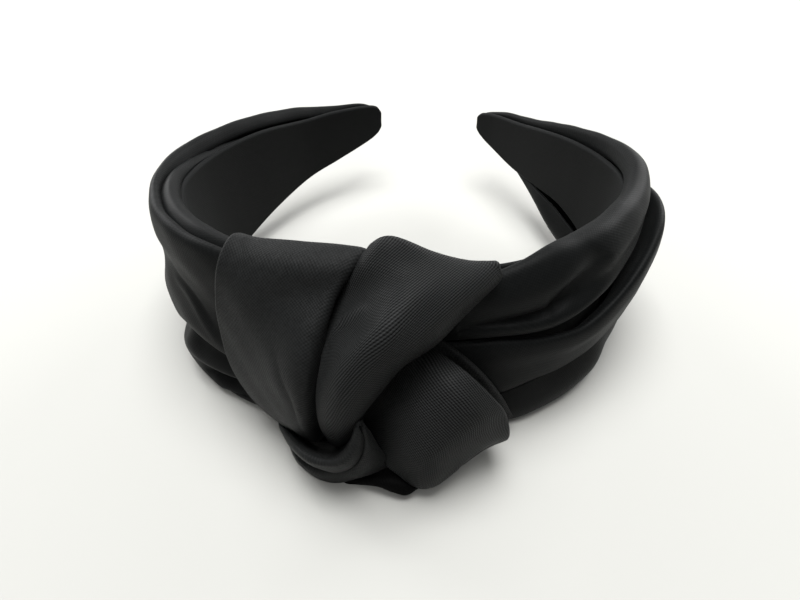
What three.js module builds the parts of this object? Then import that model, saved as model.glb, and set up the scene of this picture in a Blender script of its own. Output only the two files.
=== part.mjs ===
import * as THREE from 'three';

// Wide knotted headband lying on its side edge: +Z up, +Y towards the two tips,
// -Y towards the knot, millimetres. z = 0 is the surface it lies on.

const HOOP_WALL = 2.2;        // lining cloth over the stiff core
const CLOTH = 1.6;            // folded sleeve cloth of the arms
const ROLL = 2.2;             // narrow rim roll
const KNOT_CLOTH = 2.2;       // doubled cloth of the knot
const THIN_CLOTH = 1.6;       // small strands of the knot
const STEP = 1 / 40;          // spacing of the sections along the hoop
const CENTRE = [1.2, -3.1, 0.35];   // centre of the outline and the resting level, taken to the origin

// Inner face of the hoop seen from above, left tip to right tip.
// columns: x, y
const HOOP_PLAN = [
  [-9, 72.5], [-26, 59.5], [-37, 49.5], [-48.5, 34], [-56, 21], [-60.8, 8], [-62, -4], [-60, -16],
  [-54.5, -28], [-43, -39.5], [-23, -48], [0, -51], [23, -48], [42, -38], [53.5, -26.5],
  [60.5, -14.5], [62.5, -3], [60.5, 9], [56, 22], [50, 36], [43, 51], [36, 64], [30, 73],
];

// Lower and upper edge of the lined hoop.
// columns: along (0 left tip, 1 right tip), z_low, z_high
const HOOP_EDGES = [
  [0, 26, 32], [0.006, 23.4, 34.8], [0.02, 21.2, 36.4], [0.06, 17.8, 38.2], [0.1, 15.3, 40.4],
  [0.155, 11, 44.2], [0.2, 7.3, 46.2], [0.25, 4.6, 48.2], [0.3, 3.2, 50.7], [0.36, 2.7, 53],
  [0.42, 2.7, 54], [0.5, 2.7, 54.4], [0.6, 2.7, 53.4], [0.66, 4, 53.4], [0.7, 7.6, 52.8],
  [0.752, 13.4, 50.6], [0.81, 18.3, 47.1], [0.845, 20.3, 45.2], [0.88, 19.6, 42.4],
  [0.93, 18.8, 37.8], [0.975, 21.2, 34.6], [0.993, 23.4, 32.6], [1, 25.5, 30.4],
];

// Arm cloth. Each row is a section across the cloth: along, then pairs of
// distance out from the hoop's inner face and height, top edge first.

// columns: along, low n, z, middle n, z, crest n, z
const LEFT_INNER_ROLL = [
  [0.07, 3.6, 35, 3.6, 37, 3.6, 39],
  [0.1, 3.7, 36.2, 3.8, 39, 3.8, 41.6],
  [0.155, 3.7, 39.6, 3.8, 42.6, 3.8, 45.4],
  [0.2, 3.7, 41.6, 3.8, 44.6, 3.8, 47.6],
  [0.25, 3.7, 44, 3.9, 47, 3.9, 50],
  [0.3, 3.7, 46.5, 4, 49.6, 4, 52.8],
  [0.34, 3.8, 48.5, 4.1, 51.6, 4.1, 54.8],
  [0.38, 3.8, 50, 4.1, 53, 4.1, 56],
  [0.41, 3.8, 50, 4, 53, 4, 55.8],
];

// columns: along, edge, crest, shoulder, belly, crease, bulge, low, hem
const LEFT_OUTER_FOLD = [
  [0.004, 3.6, 32.4, 3.9, 32.8, 4.2, 32.4, 4.4, 31, 4.5, 28.6, 4.4, 26.6, 4.1, 25, 3.7, 24.4],
  [0.02, 3.5, 34.6, 3.9, 35.4, 4.4, 34.8, 5, 32, 5.2, 28.4, 5, 24.4, 4.6, 21.6, 3.8, 20.4],
  [0.06, 5.8, 34.8, 6, 37.4, 6.7, 36.7, 7, 33, 7, 27.6, 7, 22.6, 6.2, 17.6, 4.6, 16.6],
  [0.1, 5.9, 38, 6.2, 41, 7.1, 40, 7.8, 35, 7.9, 28, 7.8, 21, 7, 15.2, 5, 13.8],
  [0.155, 5.9, 41.4, 6.3, 44.6, 7.4, 43.6, 8.2, 37, 8.4, 30, 8.4, 21, 7.4, 11.6, 5.2, 9.8],
  [0.2, 5.9, 43.4, 6.3, 46.6, 7.5, 45.6, 8.4, 39, 8.6, 30, 9, 20, 8, 9.4, 5.6, 7],
  [0.25, 6, 45.6, 6.4, 48.9, 7.6, 48, 8.4, 40, 8.5, 30, 9.6, 20, 8.8, 9.6, 6, 6.2],
  [0.3, 6.2, 48.4, 6.6, 51.8, 7.8, 50.8, 8.4, 42, 8, 31, 10, 20.6, 9.4, 11, 7.4, 8.6],
  [0.34, 6.3, 50.6, 6.8, 54, 8.2, 53, 8.9, 46.4, 8.6, 37.6, 10.4, 28.6, 10, 20.4, 8.6, 17.8],
  [0.37, 6.4, 52, 6.9, 55.2, 8.4, 54.2, 9, 48.8, 8.9, 41.6, 10.2, 33, 10, 24.4, 8.8, 20.8],
  [0.4, 6.4, 52.4, 6.9, 55.6, 8.3, 54.6, 8.8, 49, 8.8, 42, 9.4, 34, 9.4, 25, 8.6, 20],
  [0.43, 5.8, 52.4, 6.3, 55, 7.3, 54, 7.7, 49, 7.7, 42, 7.9, 33, 7.9, 25, 7.7, 19.6],
  [0.47, 5, 52, 5.6, 54.4, 6.4, 53.4, 6.8, 49, 6.8, 42, 7, 33, 7, 25, 7, 19],
];

// columns: along, top, shoulder, bulge, pocket, lobe, hem
const LEFT_LOWER_FOLD = [
  [0.27, 5, 4.6, 5.6, 4, 6, 3.4, 6, 2.6, 5.6, 1.7, 4.8, 1.1],
  [0.3, 6.2, 7.4, 6.8, 6.4, 7.4, 5.4, 7.3, 4, 6.9, 2.4, 5.8, 1.1],
  [0.33, 7.1, 13.4, 8, 11.6, 9.4, 8.6, 9.6, 5.4, 8.6, 2.2, 6.2, 1.1],
  [0.355, 7.2, 20, 8, 17.6, 11.4, 13.2, 11.5, 7.8, 10.4, 2, 7, 1.1],
  [0.375, 7.2, 21.4, 7.8, 18.4, 11, 13.2, 8.8, 8.2, 10.6, 3.4, 6.8, 1.1],
  [0.395, 7, 20.6, 7.6, 17.6, 9.8, 12.4, 7.6, 8.6, 11.6, 4, 7, 1.1],
  [0.42, 6.2, 19.6, 6.8, 16.6, 8.2, 12, 7.4, 8, 8.8, 4, 6.8, 1.2],
  [0.45, 5.4, 18.6, 5.8, 15.6, 6.8, 11.6, 6.8, 8, 7, 4, 6, 1.5],
];

// columns: along, edge, crest, shoulder, belly, groove, roll, hem
const RIGHT_BROAD_FOLD = [
  [0.535, 3.4, 48, 4.4, 49, 5.6, 47.6, 6.2, 44, 6.2, 41, 6.4, 38.4, 6, 35.4],
  [0.58, 3.4, 50.4, 4, 52.4, 5.6, 51.4, 7.4, 47, 7, 41, 8, 38.6, 7.6, 35.8],
  [0.61, 3.4, 52, 4, 54.6, 5.8, 53.6, 8.4, 48.6, 7.4, 41.2, 8.9, 38.3, 8.3, 35.3],
  [0.635, 3.4, 52.6, 4, 55.2, 6, 54.2, 8.8, 49.4, 7.5, 43.5, 9.2, 38, 8.6, 34.2],
  [0.66, 3.4, 52.8, 4, 55.6, 6.2, 54.6, 9, 50, 8.7, 45, 9.5, 40, 8.8, 37.6],
  [0.69, 3.4, 52.4, 4.1, 55.2, 6.4, 54.4, 9, 50, 9.5, 46.4, 9.6, 43.4, 8.8, 41],
  [0.73, 3.4, 50.6, 4.2, 53.4, 6.4, 52.6, 8.6, 49, 9.3, 45.4, 9.3, 42.6, 8.6, 40.2],
  [0.765, 3.4, 48.4, 4.3, 51.2, 6.4, 50.4, 8, 46.8, 8.5, 43.4, 8.5, 40.6, 7.7, 38.2],
  [0.81, 3.4, 45.4, 4.3, 48.2, 6.2, 47.4, 7.4, 43.8, 7.7, 40.4, 7.7, 37.2, 7.2, 34.2],
  [0.865, 3.4, 41.4, 4.2, 44, 5.7, 43.2, 6.8, 39.4, 7, 35.6, 7, 31.8, 6.6, 28.2],
  [0.92, 3.4, 36.8, 4.1, 39.2, 5.2, 38.4, 5.8, 34.6, 6, 30.8, 6, 26.8, 5.6, 23.2],
  [0.965, 3.3, 33.4, 3.8, 35.2, 4.5, 34.4, 4.9, 31.2, 5, 28.4, 5, 25.4, 4.5, 22.4],
  [0.997, 3.4, 30.4, 3.6, 30.8, 3.9, 30.2, 4.1, 28.9, 4.1, 27.6, 4, 26.4, 3.6, 25.4],
];

// columns: along, tuck, top, upper, face, lower, hem
const RIGHT_OUTER_FOLD = [
  [0.545, 4.8, 32.4, 6, 32.8, 6.6, 30, 6.8, 25, 7, 18, 6.8, 13],
  [0.58, 6, 32.8, 7.8, 33.4, 9, 30.4, 9, 25, 9.3, 19, 8.8, 15.4],
  [0.61, 6.4, 31.8, 8.4, 32.8, 10.2, 29.6, 10.2, 24.6, 10.7, 19.5, 9.6, 16.8],
  [0.635, 6.6, 30.6, 9, 31.6, 10.9, 28.2, 11, 24, 11.2, 19.6, 10.2, 16.8],
  [0.66, 7, 33, 9.9, 34.8, 11.6, 31, 11.8, 26, 11.6, 21, 10.7, 17.6],
  [0.69, 7.6, 34.5, 10.8, 38.2, 12.1, 35.2, 12.3, 29.6, 12, 22.8, 10.8, 18],
  [0.73, 7.6, 34, 11.2, 39.8, 12.2, 36.8, 12.5, 31, 12, 22.8, 10.8, 17.4],
  [0.765, 7.8, 33, 10.7, 40, 11.5, 37.2, 11.8, 31, 11.4, 23, 10.4, 17.2],
  [0.81, 7.1, 28.6, 9.6, 35.6, 10.3, 33.4, 10.5, 28.4, 10.2, 22.6, 9.6, 18.4],
  [0.865, 7.4, 23.4, 9.1, 29, 9.3, 28, 9.3, 25, 9.1, 22, 8.6, 20],
  [0.91, 6.6, 20.6, 7.7, 24.4, 8.1, 23.4, 8.1, 22, 7.9, 20.8, 7.7, 20.2],
];

// columns: along, inner, inner low, bottom, outer low, outer, top
const RIGHT_LOWER_FOLD = [
  [0.55, 1.6, 2, 2.6, 1.1, 5, 1.1, 7, 2, 7.6, 6, 6.2, 10.6],
  [0.6, 1.4, 2, 2.6, 1.1, 5.4, 1.1, 8.6, 1.9, 9.8, 7, 7.8, 15],
  [0.635, 1.2, 2.4, 2.4, 1.1, 5.6, 1.1, 9, 2.2, 10.4, 8.5, 8.4, 16.8],
  [0.665, 0.8, 3.2, 2, 1.2, 5.4, 1.1, 8.6, 2.2, 10.5, 9, 8.8, 17],
  [0.7, 0.5, 6.6, 1.2, 2.6, 4, 1.1, 7.8, 2, 9.8, 9, 8.7, 16.4],
  [0.752, 0.4, 12.2, 0.5, 5.8, 3, 1.6, 7.2, 3, 9.4, 9.4, 8.4, 16.4],
  [0.81, 0.4, 17.2, 0, 9.4, 2.4, 4.8, 6.4, 6, 8.6, 11.6, 7.6, 18],
  [0.845, 0.4, 19.2, -0.3, 12, 2.2, 8, 5.8, 9, 7.8, 13.6, 7, 18.8],
  [0.88, 0.4, 18.5, -0.3, 13.6, 2.2, 10.8, 5, 11.8, 6.6, 15.4, 6.4, 18.6],
  [0.93, 0.7, 17.6, 0.9, 15.8, 2.2, 14.6, 3.8, 15, 4.8, 16.2, 5, 17.6],
];

// Knot cloth. Each row is a section across the piece, as x, y, z of each point.

// columns: left fold, left, crown, right, right crease, tuck; rows from behind the rim down
const KNOT_LEFT_PANEL = [
  [-38, -45, 57.5, -31.5, -47.5, 57.5, -22.5, -50, 57.5, -14, -52, 57.5, -9.5, -52.5, 57, -7.5, -53, 56],
  [-39.5, -48.5, 59, -32, -50, 59, -22.5, -52.5, 60, -14, -53.5, 60, -9, -54, 59.5, -7, -54.5, 57],
  [-41.5, -52.5, 55.5, -33.5, -54.5, 57, -24.5, -57, 58, -16, -58, 58.5, -11.5, -57, 58, -9, -55.5, 55.5],
  [-43.5, -53, 47.5, -34.5, -57, 50, -26, -60, 52, -19, -61, 53.5, -15.5, -59, 53.5, -11.5, -57.5, 51.5],
  [-45, -52.5, 35.5, -36, -58.5, 39.5, -27.5, -63, 43.5, -21, -65, 46.5, -18, -62, 46, -14, -59.5, 44],
  [-44, -53.5, 21.5, -36, -60, 27, -28.5, -65.5, 33, -23, -68, 37, -20, -64.5, 36, -16.5, -61.5, 34],
  [-40, -56, 12.5, -33, -62.5, 19.5, -27.5, -68, 26.5, -23, -71, 30.5, -21, -67, 26.5, -18, -64, 24.5],
  [-33, -61, 10.5, -28, -66.5, 16, -25, -70, 20.5, -22.5, -72.5, 22.5, -21, -68.5, 18.5, -18.5, -66, 17.5],
  [-28.5, -61, 11.5, -25.5, -64, 13, -23.5, -66, 14.5, -22, -67, 15, -21.5, -65, 13.5, -20, -62.5, 13],
];

// columns: left crease, left, crown, right, cut edge; rows from behind the rim to the eye
const KNOT_CROSSING_BAND = [
  [-7.6, -52.4, 59.2, -3.2, -52.6, 61.2, 5.5, -53.2, 58.2, 12.8, -54, 56.4, 20, -54.6, 55.6],
  [-7.8, -55.2, 61, -3.2, -55.6, 63.4, 5.4, -56.4, 60.4, 12.9, -57.2, 58.7, 20.6, -57.2, 58.2],
  [-11.8, -59, 58.4, -5.8, -60.2, 61.4, 2.2, -61.2, 59.6, 10.6, -61.2, 58, 20.1, -58.4, 56.4],
  [-14.3, -62.4, 55.1, -8.7, -65, 57, -1.3, -67.5, 57.6, 6.5, -66, 55.4, 14.4, -61, 51],
  [-16.2, -66.6, 50.4, -11.2, -69.5, 53, -4.9, -73, 54.8, 1.2, -71, 51.3, 7.3, -64.5, 44.6],
  [-17.4, -69.6, 43.3, -12.9, -73.5, 47.7, -8.5, -76, 49.6, -4.4, -74.5, 47, -0.5, -69, 41.4],
  [-18.3, -72, 36.3, -15, -76, 40.7, -11.9, -78, 42.2, -9.2, -76.5, 39.7, -6.7, -72, 34.8],
  [-18.6, -73.8, 29.1, -15.8, -76.8, 32.7, -13.4, -78, 34, -11.8, -77, 32.7, -10.4, -74, 29.8],
  [-18, -72.4, 20.8, -15.9, -74.2, 22.2, -14.4, -74.8, 23, -13.4, -74.4, 23.6, -12.2, -72.6, 23.8],
  [-18.2, -66.4, 15.6, -16.6, -68, 15.6, -15.2, -68.6, 16.2, -14.2, -68.4, 17, -13, -67, 17.8],
];

// columns: tuck, left edge, left, crown, right, upper right edge; rows from under the band down
const KNOT_LOWER_PANEL = [
  [-8.4, -59, 28, -6.2, -62, 29.6, -4.2, -63, 33.6, -1.8, -63.5, 37.6, 0.9, -63, 40.4, 3.7, -61.5, 41.5],
  [-9, -61, 23, -6.9, -66, 25.4, -3.2, -69, 32.9, 0.2, -70.3, 38.4, 4.2, -68.3, 40.8, 8.3, -63, 37.1],
  [-8.2, -64, 16.6, -6.2, -70, 19.6, -1.4, -74, 29.8, 3.5, -74.5, 35.1, 8.8, -71.5, 36.6, 14.4, -64, 31.9],
  [-4.4, -70, 9.8, -2.2, -74.2, 12.6, 2.5, -77.5, 23.6, 8, -77, 29.4, 13.9, -72.5, 30, 21.2, -64, 23.3],
  [0.4, -73, 7.6, 1.8, -76.6, 9.9, 5.6, -79, 19, 11.8, -76.5, 22.5, 18.7, -71, 21.9, 25.9, -62.5, 14.1],
  [4.6, -74, 4.6, 4.6, -77.2, 5.4, 7.2, -78, 7.8, 12.8, -74, 8.5, 20.5, -68.5, 7.7, 28, -62.4, 5.4],
  [7, -69.4, 2.4, 7.4, -70.6, 2, 9.8, -70, 1.8, 15, -66, 1.8, 20.4, -62.2, 2.2, 25.4, -59.6, 3.4],
];

// columns: inner edge, middle, outer edge; rows from the top down
const KNOT_BACKING_FOLD = [
  [2.8, -60.5, 38.1, 4.6, -61, 40.7, 6.7, -60, 40.6],
  [9.1, -61.4, 32.1, 11.3, -61.8, 35.2, 13.5, -60.6, 34.9],
  [15.4, -61.4, 24.3, 17.6, -61.6, 27.2, 19.6, -60.6, 27.7],
  [21.8, -60.6, 14.4, 23.8, -60.8, 17.1, 25.4, -59.8, 18.1],
  [26.4, -59, 5.6, 28.2, -59, 7, 29.4, -58.4, 8.4],
];

// columns: deep edge, inner, lip, outer, lower edge; rows from the left round to the right
const KNOT_COLLAR_ROLL = [
  [-30, -57, 6, -31.6, -60, 7.8, -32.2, -61.6, 8, -32.6, -62.2, 6.6, -32.2, -61.4, 4.8],
  [-26.6, -59, 5.6, -28.6, -65, 9.6, -29, -68, 11.6, -29.6, -68.8, 9.6, -29.6, -67, 6.8],
  [-23.6, -61, 5.8, -24.8, -69, 10, -25.6, -74, 14.8, -26.2, -74.4, 12.4, -26.4, -72.2, 9.4],
  [-21, -62, 6.6, -21.6, -71.6, 11, -21.8, -77.6, 17.2, -22.2, -77.6, 14.4, -22.8, -75.4, 11],
  [-18, -62.6, 8, -18.2, -72.4, 12, -18.1, -79.4, 19, -18.6, -79.6, 15.8, -19.1, -77.4, 12],
  [-14.8, -62.8, 10, -15, -73, 14, -14.6, -80.2, 21, -14.9, -80.4, 17.4, -15.1, -78.2, 13.2],
  [-11.6, -62.8, 12.6, -11.4, -73, 16.6, -11.4, -79.6, 22.8, -11.4, -80.2, 20.6, -11, -78.2, 17],
  [-10, -63.4, 16, -9.6, -72, 21, -10, -77.2, 26.6, -10.2, -77.6, 25.4, -10, -76.8, 23.4],
];

// columns: upper edge, crown, lower edge; rows from the left to the right
const KNOT_UNDER_STRAND = [
  [-30.4, -61, 3.6, -30.6, -63, 2.8, -30.4, -63.4, 1.6],
  [-26.6, -66, 4.4, -27, -69, 4.2, -27.2, -68.6, 2],
  [-22.6, -69, 5.4, -22.6, -73.6, 6.2, -22.8, -73, 1.8],
  [-18.6, -71, 6, -18.4, -76, 8.2, -18.8, -74.8, 2],
  [-14, -73.4, 7.6, -13.4, -77.4, 10.4, -13.8, -75.8, 3.6],
  [-10.4, -75.6, 13, -9.4, -78, 13.4, -8.9, -76.4, 7.4],
  [-9.2, -75.8, 19, -7.4, -77.8, 17.4, -5.4, -76.4, 10.6],
  [-8.8, -74.8, 23.4, -7, -76.4, 20.6, -3.4, -75.8, 13.6],
  [-8.6, -73, 26.4, -7.6, -74, 24, -5.8, -74, 19],
];

// columns: upper edge, crown, lower edge; rows from the left to the right
const KNOT_TUCK = [
  [-17, -72, 1.5, -16.6, -73.4, 1.2, -16, -73.6, 1],
  [-10.8, -67, 2.6, -9.6, -74.4, 4.2, -8.3, -76.2, 1.4],
  [-6, -65.6, 4.4, -4.8, -75.6, 6.2, -3.9, -78, 1.4],
  [-2.6, -66.6, 4.8, -1.4, -76.6, 5.8, -0.9, -78.8, 1.4],
  [0.4, -68, 3.4, 1, -76.4, 4, 1.6, -78.2, 1.4],
  [3.4, -71, 2, 3.7, -75, 2.4, 4, -76.6, 1.5],
];

const add = (a, b, k = 1) => a.map((v, i) => v + k * b[i]);
const sub = (a, b) => a.map((v, i) => v - b[i]);
const cross = (a, b) => [
  a[1] * b[2] - a[2] * b[1], a[2] * b[0] - a[0] * b[2], a[0] * b[1] - a[1] * b[0],
];
const unit = (a) => {
  const length = Math.hypot(...a) || 1;
  return a.map((v) => v / length);
};

// A smooth line through rows of numbers that stand at the places in `at`.
function smooth(rows, at, t) {
  const last = rows.length - 1;
  let i = 0;
  while (i < last - 1 && t > at[i + 1]) i += 1;
  const h = at[i + 1] - at[i];
  const w = Math.min(Math.max((t - at[i]) / h, 0), 1);
  const slope = (j) => {
    const [a, b] = [Math.max(j - 1, 0), Math.min(j + 1, last)];
    return sub(rows[b], rows[a]).map((v) => v / (at[b] - at[a]));
  };
  const [m0, m1] = [slope(i), slope(i + 1)];
  const [h00, h10] = [2 * w ** 3 - 3 * w ** 2 + 1, w ** 3 - 2 * w ** 2 + w];
  const [h01, h11] = [3 * w ** 2 - 2 * w ** 3, w ** 3 - w ** 2];
  return rows[i].map((v, k) => h00 * v + h10 * h * m0[k] + h01 * rows[i + 1][k] + h11 * h * m1[k]);
}

// Distance along the plan line at each of its points, as a fraction of the whole.
const planAt = (() => {
  const at = [0];
  for (let i = 1; i < HOOP_PLAN.length; i += 1) {
    at.push(at[i - 1] + Math.hypot(...sub(HOOP_PLAN[i], HOOP_PLAN[i - 1])));
  }
  return at.map((v) => v / at.at(-1));
})();

// The point at `along` the hoop, n out from its inner face and z up.
function onHoop(along, n, z) {
  const e = 1e-3;
  const p = smooth(HOOP_PLAN, planAt, along);
  const t = unit(sub(smooth(HOOP_PLAN, planAt, Math.min(along + e, 1)),
    smooth(HOOP_PLAN, planAt, Math.max(along - e, 0))));
  return sub([p[0] + n * t[1], p[1] - n * t[0], z], CENTRE);
}

// A closed cloth wall of the given thickness about a grid of middle points,
// with rounded borders: the wall thins to nothing over its last half thickness.
// Where it would reach under z = 0 it is pressed flat against the surface.
function cloth(name, grid, thickness, colour) {
  const [nu, nv] = [grid.length, grid[0].length];
  const half = thickness / 2;
  const gap = (a, b) => Math.hypot(...sub(a, b));
  const toBorder = (line) => {
    const at = [0];
    for (let i = 1; i < line.length; i += 1) at.push(at[i - 1] + gap(line[i], line[i - 1]));
    return at.map((v) => Math.min(v, at.at(-1) - v));
  };
  const across = grid.map(toBorder);
  const along = grid[0].map((_, j) => toBorder(grid.map((row) => row[j])));
  const round = (d) => Math.sqrt(1 - (1 - Math.min(d / half, 1)) ** 2);
  const points = [];
  const faces = [];
  const front = [];
  const back = [];
  const inside = (i, j) => i > 0 && j > 0 && i < nu - 1 && j < nv - 1;
  grid.forEach((row, i) => row.forEach((p, j) => {
    const du = sub(grid[Math.min(i + 1, nu - 1)][j], grid[Math.max(i - 1, 0)][j]);
    const dv = sub(row[Math.min(j + 1, nv - 1)], row[Math.max(j - 1, 0)]);
    const h = half * round(across[i][j]) * round(along[j][i]);
    const n = unit(cross(dv, du));
    front.push(points.push(add(p, n, inside(i, j) ? h : 0)) - 1);
    back.push(inside(i, j) ? points.push(add(p, n, -h)) - 1 : front.at(-1));
  }));
  for (let i = 0; i < nu - 1; i += 1) {
    for (let j = 0; j < nv - 1; j += 1) {
      const [a, b, c, d] = [i * nv + j, i * nv + j + 1, (i + 1) * nv + j + 1, (i + 1) * nv + j];
      faces.push([front[a], front[b], front[c]], [front[a], front[c], front[d]]);
      faces.push([back[a], back[c], back[b]], [back[a], back[d], back[c]]);
    }
  }
  points.forEach((p) => { p[2] = Math.max(p[2], 0); });
  return solid(name, points, faces.filter(([a, b, c]) => a !== b && b !== c && a !== c), colour);
}

function solid(name, points, faces, colour) {
  const geometry = new THREE.BufferGeometry();
  geometry.setAttribute('position', new THREE.Float32BufferAttribute(points.flat(), 3));
  geometry.setIndex(faces.flat());
  geometry.computeVertexNormals();
  const mesh = new THREE.Mesh(geometry, new THREE.MeshStandardMaterial({ color: colour, roughness: 0.5 }));
  mesh.name = name;
  return mesh;
}

// Parameters from 0 to count with a first and last one close to the ends.
function spaced(count, pieces, near) {
  const inner = Array.from({ length: pieces - 1 }, (_, i) => ((i + 1) * count) / pieces);
  return [0, near, ...inner, count - near, count];
}

const points3 = (row) => row.reduce((all, v, i) => (i % 3 ? all : [...all, row.slice(i, i + 3)]), []);
const places = (rows) => rows.map((_, i) => i);

// A cloth piece of an arm, from its table of sections along the hoop.
function armCloth(name, table, thickness, colour, pieces) {
  const at = table.map((row) => row[0]);
  const rows = table.map((row) => row.slice(1));
  const [from, to] = [at[0], at.at(-1)];
  const regular = [];
  for (let k = Math.ceil((from + 0.008) / STEP); k * STEP < to - 0.008; k += 1) regular.push(k * STEP);
  const grid = [from, from + 0.003, ...regular, to - 0.003, to].map((along) => {
    const row = smooth(rows, at, along);
    const pairs = [];
    for (let k = 0; k < row.length; k += 2) pairs.push([row[k], row[k + 1]]);
    return spaced(pairs.length - 1, pieces, 0.25).map((v) => {
      const [n, z] = smooth(pairs, places(pairs), v);
      return onHoop(along, n, z);
    });
  });
  return cloth(name, grid, thickness, colour);
}

// A cloth piece of the knot, from its table of sections in space.
function knotCloth(name, table, thickness, colour, long, wide) {
  const grid = spaced(table.length - 1, long, 0.15).map((u) => {
    const row = points3(smooth(table, places(table), u));
    return spaced(row.length - 1, wide, 0.12).map((v) => sub(smooth(row, places(row), v), CENTRE));
  });
  return cloth(name, grid, thickness, colour);
}

// The lined hoop: a flat band with rounded edges, lofted along the plan line.
function linedHoop(name, colour) {
  const at = HOOP_EDGES.map((row) => row[0]);
  const stations = [0, 0.006];
  for (let k = 1; k * STEP < 0.99; k += 1) stations.push(k * STEP);
  stations.push(0.994, 1);
  const r = HOOP_WALL / 2;
  const ring = [
    [0, 0.4 * r], [0, r], [0, -r], [0, -0.4 * r], [r, 0], [2 * r, -0.4 * r], [2 * r, -r],
    [2 * r, r], [2 * r, 0.4 * r], [r, 0],
  ];
  const points = [];
  const faces = [];
  stations.forEach((along) => {
    const [, low, high] = smooth(HOOP_EDGES, at, along);
    ring.forEach(([n, z], k) => {
      const upper = k > 1 && k < 7;
      points.push(onHoop(along, n, upper ? high + z : low + z));
    });
  });
  const size = ring.length;
  for (let i = 0; i < stations.length - 1; i += 1) {
    for (let k = 0; k < size; k += 1) {
      const m = (k + 1) % size;
      faces.push([i * size + k, i * size + m, (i + 1) * size + m]);
      faces.push([i * size + k, (i + 1) * size + m, (i + 1) * size + k]);
    }
  }
  for (let k = 1; k < size - 1; k += 1) {
    const end = (stations.length - 1) * size;
    faces.push([0, k + 1, k], [end, end + k, end + k + 1]);
  }
  return solid(name, points, faces, colour);
}

const group = new THREE.Group();
group.name = 'knotted_headband';
group.add(
  linedHoop('lined_hoop', 0x2c2f2f),
  armCloth('left_inner_roll', LEFT_INNER_ROLL, ROLL, 0x6d7f8c, 4),
  armCloth('left_outer_fold', LEFT_OUTER_FOLD, CLOTH, 0x54646e, 12),
  armCloth('left_lower_fold', LEFT_LOWER_FOLD, CLOTH, 0x3f5a66, 10),
  armCloth('right_broad_fold', RIGHT_BROAD_FOLD, CLOTH, 0x6a6a78, 11),
  armCloth('right_outer_fold', RIGHT_OUTER_FOLD, CLOTH, 0x4d5564, 9),
  armCloth('right_lower_fold', RIGHT_LOWER_FOLD, CLOTH, 0x5f6d5f, 9),
  knotCloth('knot_left_panel', KNOT_LEFT_PANEL, KNOT_CLOTH, 0x8a6f5f, 14, 9),
  knotCloth('knot_crossing_band', KNOT_CROSSING_BAND, KNOT_CLOTH, 0x9a8a62, 14, 8),
  knotCloth('knot_lower_panel', KNOT_LOWER_PANEL, KNOT_CLOTH, 0x7f8f6a, 11, 10),
  knotCloth('knot_backing_fold', KNOT_BACKING_FOLD, THIN_CLOTH, 0x5c7a74, 6, 3),
  knotCloth('knot_collar_roll', KNOT_COLLAR_ROLL, THIN_CLOTH, 0x8a5f6f, 14, 8),
  knotCloth('knot_under_strand', KNOT_UNDER_STRAND, THIN_CLOTH, 0x6f5f8a, 12, 4),
  knotCloth('knot_tuck', KNOT_TUCK, THIN_CLOTH, 0x4f4f5f, 8, 4),
);

export default group;
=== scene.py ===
"""Wide satin headband with an off-centre knot, lying on its lower edge.

The looks of every piece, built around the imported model. Tables are in millimetres, in the part's
own frame before it is centred: +Z up, +Y towards the two tips, -Y towards the knot.
"""
import logging
import math
from collections.abc import Callable
from dataclasses import dataclass
from enum import Enum
from functools import partial

import bpy
import numpy as np
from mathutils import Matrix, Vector
from numpy.typing import NDArray


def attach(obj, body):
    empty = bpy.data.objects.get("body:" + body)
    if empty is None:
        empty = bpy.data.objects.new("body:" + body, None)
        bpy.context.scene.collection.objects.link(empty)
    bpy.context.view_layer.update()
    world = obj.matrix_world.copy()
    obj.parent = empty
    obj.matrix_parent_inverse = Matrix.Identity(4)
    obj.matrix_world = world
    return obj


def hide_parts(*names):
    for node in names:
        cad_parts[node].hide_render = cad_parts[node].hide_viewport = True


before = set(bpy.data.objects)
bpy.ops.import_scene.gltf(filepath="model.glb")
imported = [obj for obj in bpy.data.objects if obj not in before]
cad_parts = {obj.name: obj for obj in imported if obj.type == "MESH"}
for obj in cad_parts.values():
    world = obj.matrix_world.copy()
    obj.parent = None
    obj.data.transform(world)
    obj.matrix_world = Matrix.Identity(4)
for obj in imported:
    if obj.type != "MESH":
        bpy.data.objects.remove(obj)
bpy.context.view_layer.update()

Array = NDArray[np.float64]
Table = tuple[tuple[float, ...], ...]

MM = 0.001                              # metres in a millimetre
CENTRE = np.array([1.2, -3.1, 0.35])    # middle of the outline at resting level, the origin
BODY = "root"

TINY = 1e-9                 # keeps a division from meeting nought
ASIDE = 1e-3                # share of the plan line that a tangent looks ahead and back
BORDER_CROWDING = 0.85      # how much the hoop's steps crowd at its borders
WEFT_SPACING = 1.1          # pitch of the crossing threads over the pitch of the floats
YARN_CLOUDS = 0.9           # uneven patches of yarn in a millimetre, each about 1.1 mm wide
WANDER = {"Distortion": 0.5, "Detail": 2.0, "Detail Scale": 0.5}    # how a line of floats strays
FLOAT_SIDE = {"From Min": 0.2, "From Max": 0.8}     # heights of the wave where a float's side is
AIM = Vector((0, 0, 0.03))  # middle of the headband, where the lamps point

log = logging.getLogger("headband")


# -------------------------------- smooth lines and surfaces

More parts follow.
